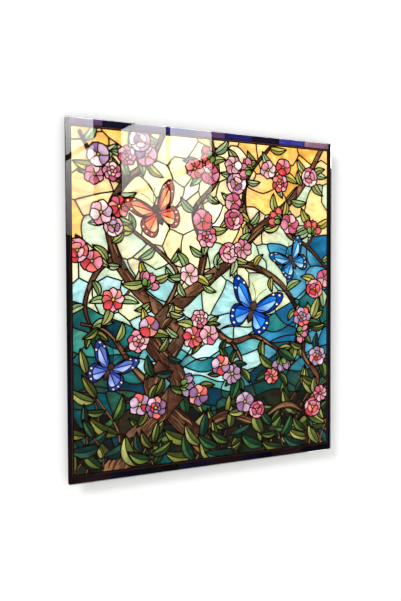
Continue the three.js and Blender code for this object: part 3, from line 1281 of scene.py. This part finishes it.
class PANEL_OT_fixings(bpy.types.Operator):
    """Give the hanging rail and the rubber pads their finishes"""

    bl_idname = "glass_panel.fixings"
    bl_label = "Rail and pads"

    def execute(self, context):
        colours = context.scene.panel_colours
        rail, *pads = FIXINGS
        dress(rail, rail_material(colours))
        rubber = pad_material(colours)
        for name in pads:
            dress(name, rubber)
        return {"FINISHED"}


# The stage

# The window behind the viewer, seen in the glass, in metres from the panel's centre. Each column of panes has
# its left and right side, its foot's height at the left and slope, and its slanted bar's height at the left,
# slope and thickness.
WINDOW_DISTANCE = 2.2
WINDOW_TOP = 0.965
WINDOW_COLUMNS = (
    (0.178, 0.356, 0.298, 0.0, 0.690, 0.65, 0.034),
    (0.522, 0.796, 0.103, 0.44, 0.477, 0.50, 0.052),
    (0.826, 1.099, 0.224, 0.51, 0.634, 0.45, 0.052),
)
WINDOW_NOTCH = (0.104, 0.056)  # width and height of the cut corner at the top left of the middle column
WINDOW_FADE = 2.9  # natural logarithm of how much brighter it gets with each metre up
WINDOW_STRENGTH = 0.78  # at the height of the panel's centre
WINDOW_SKY = 10.0  # the most it reaches

# The room, in metres. The wall stands a hair behind what rests on it.
WALL_FACE = 0.6 * MM
WALL_TOP = 4.0
FLOOR_REACH = 7.0

# Soft light: places from the panel's centre and sizes in metres, and powers in watts.
FRONT_PLACE, FRONT_SIZE, FRONT_POWER = Vector((-2.38, -1.0, 2.03)) * 8.0, (13.2, 10.4), 29000
REAR_PLACE, REAR_SIZE, REAR_POWER = Vector((0.8, 1.9, 1.4)), (2.4, 1.6), 105
CARD_PLACE, CARD_SIZE, CARD_POWER = (3.0, -1.0), (7.0, 4.0), 110
ROOM_LIGHT = 1.25


def window_panes():
    """Corners of the window's panes as points from the panel's centre, x right and z up."""
    panes = []
    for k, (left, right, foot, foot_slope, bar, slope, thickness) in enumerate(WINDOW_COLUMNS):
        wide = right - left
        low, high = foot + foot_slope * wide, bar + slope * wide
        panes.append([(left, foot), (right, low), (right, high), (left, bar)])
        bar += thickness
        upper = [(left, bar), (right, bar + slope * wide), (right, WINDOW_TOP)]
        cut, drop = WINDOW_NOTCH
        upper += [(left + cut, WINDOW_TOP), (left, WINDOW_TOP - drop)] if k == 1 else [(left, WINDOW_TOP)]
        panes.append(upper)
    return panes


def stage_piece(name, verts, faces, material):
    """A flat piece of the stage that shows in no reflection."""
    mesh = bpy.data.meshes.new(name)
    mesh.from_pydata(verts, [], faces)
    mesh.materials.append(material)
    piece = bpy.data.objects.new(name, mesh)
    bpy.context.scene.collection.objects.link(piece)
    piece.visible_glossy = False
    return piece


def plain_material(name, colour):
    return new_material(name, Base_Color=linear(colour), Roughness=0.9, Specular_IOR_Level=0.0)


def wall_material():
    """Flat wall paint. Seen from behind, the wall isn't there, so it doesn't hide the panel's back."""
    material, tree, shader = plain_material("White emulsion on plaster", "#CACACA")
    side = add_node(tree, "ShaderNodeNewGeometry")
    clear = add_node(tree, "ShaderNodeBsdfTransparent")
    either = add_node(tree, "ShaderNodeMixShader", {0: side.outputs["Backfacing"], 1: shader.outputs[0],
                                                    2: clear.outputs[0]})
    show(tree, either)
    return material


def window_material():
    """Daylight in a window: it fades from a full sky at the top."""
    material, tree, shader = new_material("Window light")
    tree.nodes.remove(shader)
    place = add_node(tree, "ShaderNodeTexCoord")
    height = add_node(tree, "ShaderNodeSeparateXYZ", {0: place.outputs["Object"]})
    light = height.outputs["Z"]
    for operation, inputs in (
        ("SUBTRACT", {1: PANEL_CENTRE.z}),
        ("MULTIPLY", {1: WINDOW_FADE}),
        ("EXPONENT", {}),
        ("MULTIPLY", {1: WINDOW_STRENGTH}),
        ("MINIMUM", {1: WINDOW_SKY}),
    ):
        light = add_node(tree, "ShaderNodeMath", {0: light, **inputs}, operation=operation).outputs[0]
    show(tree, add_node(tree, "ShaderNodeEmission", {"Strength": light}))
    return material


def soft_box(name, centre, target, size, power):
    data = bpy.data.lights.new(name, "AREA")
    data.shape = "RECTANGLE"
    data.size, data.size_y = size
    data.energy = power
    box = bpy.data.objects.new(name, data)
    box.location = centre
    box.rotation_euler = (target - centre).to_track_quat("-Z", "Y").to_euler()
    box.visible_glossy = False
    bpy.context.scene.collection.objects.link(box)
    return box


class PANEL_OT_stage(bpy.types.Operator):
    """Set the camera, the wall, the floor, the window's reflection and the soft light"""

    bl_idname = "glass_panel.stage"
    bl_label = "Stage"

    def execute(self, context):
        scene = context.scene
        stage = scene.panel_stage
        scene.view_settings.view_transform = "Standard"

        floor = GLASS_LOW.z - stage.floor_drop
        half = stage.wall_width / 2
        corners = [(-half, WALL_FACE, floor), (half, WALL_FACE, floor), (half, WALL_FACE, WALL_TOP),
                   (-half, WALL_FACE, WALL_TOP)]
        wall = stage_piece("stage_wall", corners, [(0, 1, 2, 3)], wall_material())
        corners = [(-half, -FLOOR_REACH, floor), (half, -FLOOR_REACH, floor), (half, FLOOR_REACH, floor),
                   (-half, FLOOR_REACH, floor)]
        paint = plain_material("Pale painted floor", "#ECEBE8")[0]
        stage_piece("stage_floor", corners, [(0, 1, 2, 3)], paint)

        verts, faces = [], []
        depth = GLASS_LOW.y - WINDOW_DISTANCE
        for pane in window_panes():
            faces.append(range(len(verts), len(verts) + len(pane)))
            verts += [(PANEL_CENTRE.x + x, depth, PANEL_CENTRE.z + z) for x, z in pane]
        window = stage_piece("stage_window", verts, faces, window_material())
        window.visible_camera = window.visible_diffuse = False
        window.visible_transmission = window.visible_shadow = False
        window.visible_glossy = True

        # The soft box stands high on the left, level with the wall, and lights it at a slant.
        centre = PANEL_CENTRE + FRONT_PLACE
        target = Vector((centre.x, PANEL_CENTRE.y, centre.z))
        soft_box("Front soft box", centre, target, FRONT_SIZE, FRONT_POWER)
        rear = soft_box("Rear soft box", PANEL_CENTRE + REAR_PLACE, PANEL_CENTRE, REAR_SIZE, REAR_POWER)
        rear.visible_glossy = True
        # The wall doesn't keep this light off the panel's back.
        passed = bpy.data.collections.new("Rear light passes")
        passed.objects.link(wall)
        passed.collection_objects[0].light_linking.link_state = "EXCLUDE"
        rear.light_linking.blocker_collection = passed
        # It lights what is seen from behind, and sends nothing on from there into the gap at the wall.
        rear.data.cycles.max_bounces = 0
        # A tall white card on each side lights only the rail and the pads, whose ends would look black.
        fixings = bpy.data.collections.new("Fixings")
        for name in FIXINGS:
            fixings.objects.link(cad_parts[name])
        away, forward = CARD_PLACE
        for side in (-1, 1):
            middle = PANEL_CENTRE + Vector((away * side, forward, 0))
            card = soft_box("Side card", middle, middle - Vector((side, 0, 0)), CARD_SIZE, CARD_POWER)
            card.visible_glossy = True
            card.light_linking.receiver_collection = fixings

        world = bpy.data.worlds.new("White room")
        scene.world = world
        world.use_nodes = True
        tree = world.node_tree
        tree.nodes.clear()
        sky = add_node(tree, "ShaderNodeBackground", Color=(1, 1, 1, 1), Strength=ROOM_LIGHT)
        add_node(tree, "ShaderNodeOutputWorld", {"Surface": sky.outputs[0]})
        world.cycles_visibility.glossy = False

        front = Vector((PANEL_CENTRE.x, GLASS_LOW.y, PANEL_CENTRE.z))
        level = math.cos(stage.view_elevation)
        toward = Vector((math.sin(stage.view_azimuth) * level, -math.cos(stage.view_azimuth) * level,
                         math.sin(stage.view_elevation)))
        data = bpy.data.cameras.new("Camera")
        data.sensor_width = 36
        data.lens = stage.lens
        camera = bpy.data.objects.new("Camera", data)
        camera.location = front + toward * stage.view_distance
        aim = front + Vector((stage.aim_x, 0, stage.aim_z))
        turn = (aim - camera.location).to_track_quat("-Z", "Y").to_matrix()
        camera.rotation_euler = (turn @ Matrix.Rotation(stage.view_roll, 3, "Z")).to_euler()
        scene.collection.objects.link(camera)
        scene.camera = camera
        return {"FINISHED"}


class PANEL_PT_sidebar(bpy.types.Panel):
    """Sizes, colours and build steps of the glass panel"""

    bl_idname = "PANEL_PT_sidebar"
    bl_label = "Glass panel"
    bl_space_type = "VIEW_3D"
    bl_region_type = "UI"
    bl_category = "Glass panel"

    def draw(self, context):
        scene = context.scene
        for group in (scene.panel_picture, scene.panel_colours, scene.panel_stage):
            box = self.layout.box()
            for name in group.__annotations__:
                box.prop(group, name)
        for operator in STEPS:
            self.layout.operator(operator.bl_idname)


STEPS = (PANEL_OT_picture, PANEL_OT_glass, PANEL_OT_fixings, PANEL_OT_stage)
CLASSES = (PictureSettings, SurfaceColours, StageSettings, *STEPS, PANEL_PT_sidebar)


def register():
    for cls in CLASSES:
        bpy.utils.register_class(cls)
    bpy.types.Scene.panel_picture = PointerProperty(type=PictureSettings)
    bpy.types.Scene.panel_colours = PointerProperty(type=SurfaceColours)
    bpy.types.Scene.panel_stage = PointerProperty(type=StageSettings)


def unregister():
    del bpy.types.Scene.panel_stage
    del bpy.types.Scene.panel_colours
    del bpy.types.Scene.panel_picture
    for cls in reversed(CLASSES):
        bpy.utils.unregister_class(cls)


def main():
    register()
    bpy.ops.glass_panel.picture()
    bpy.ops.glass_panel.glass()
    bpy.ops.glass_panel.fixings()
    bpy.ops.glass_panel.stage()


if __name__ == "__main__":
    main()
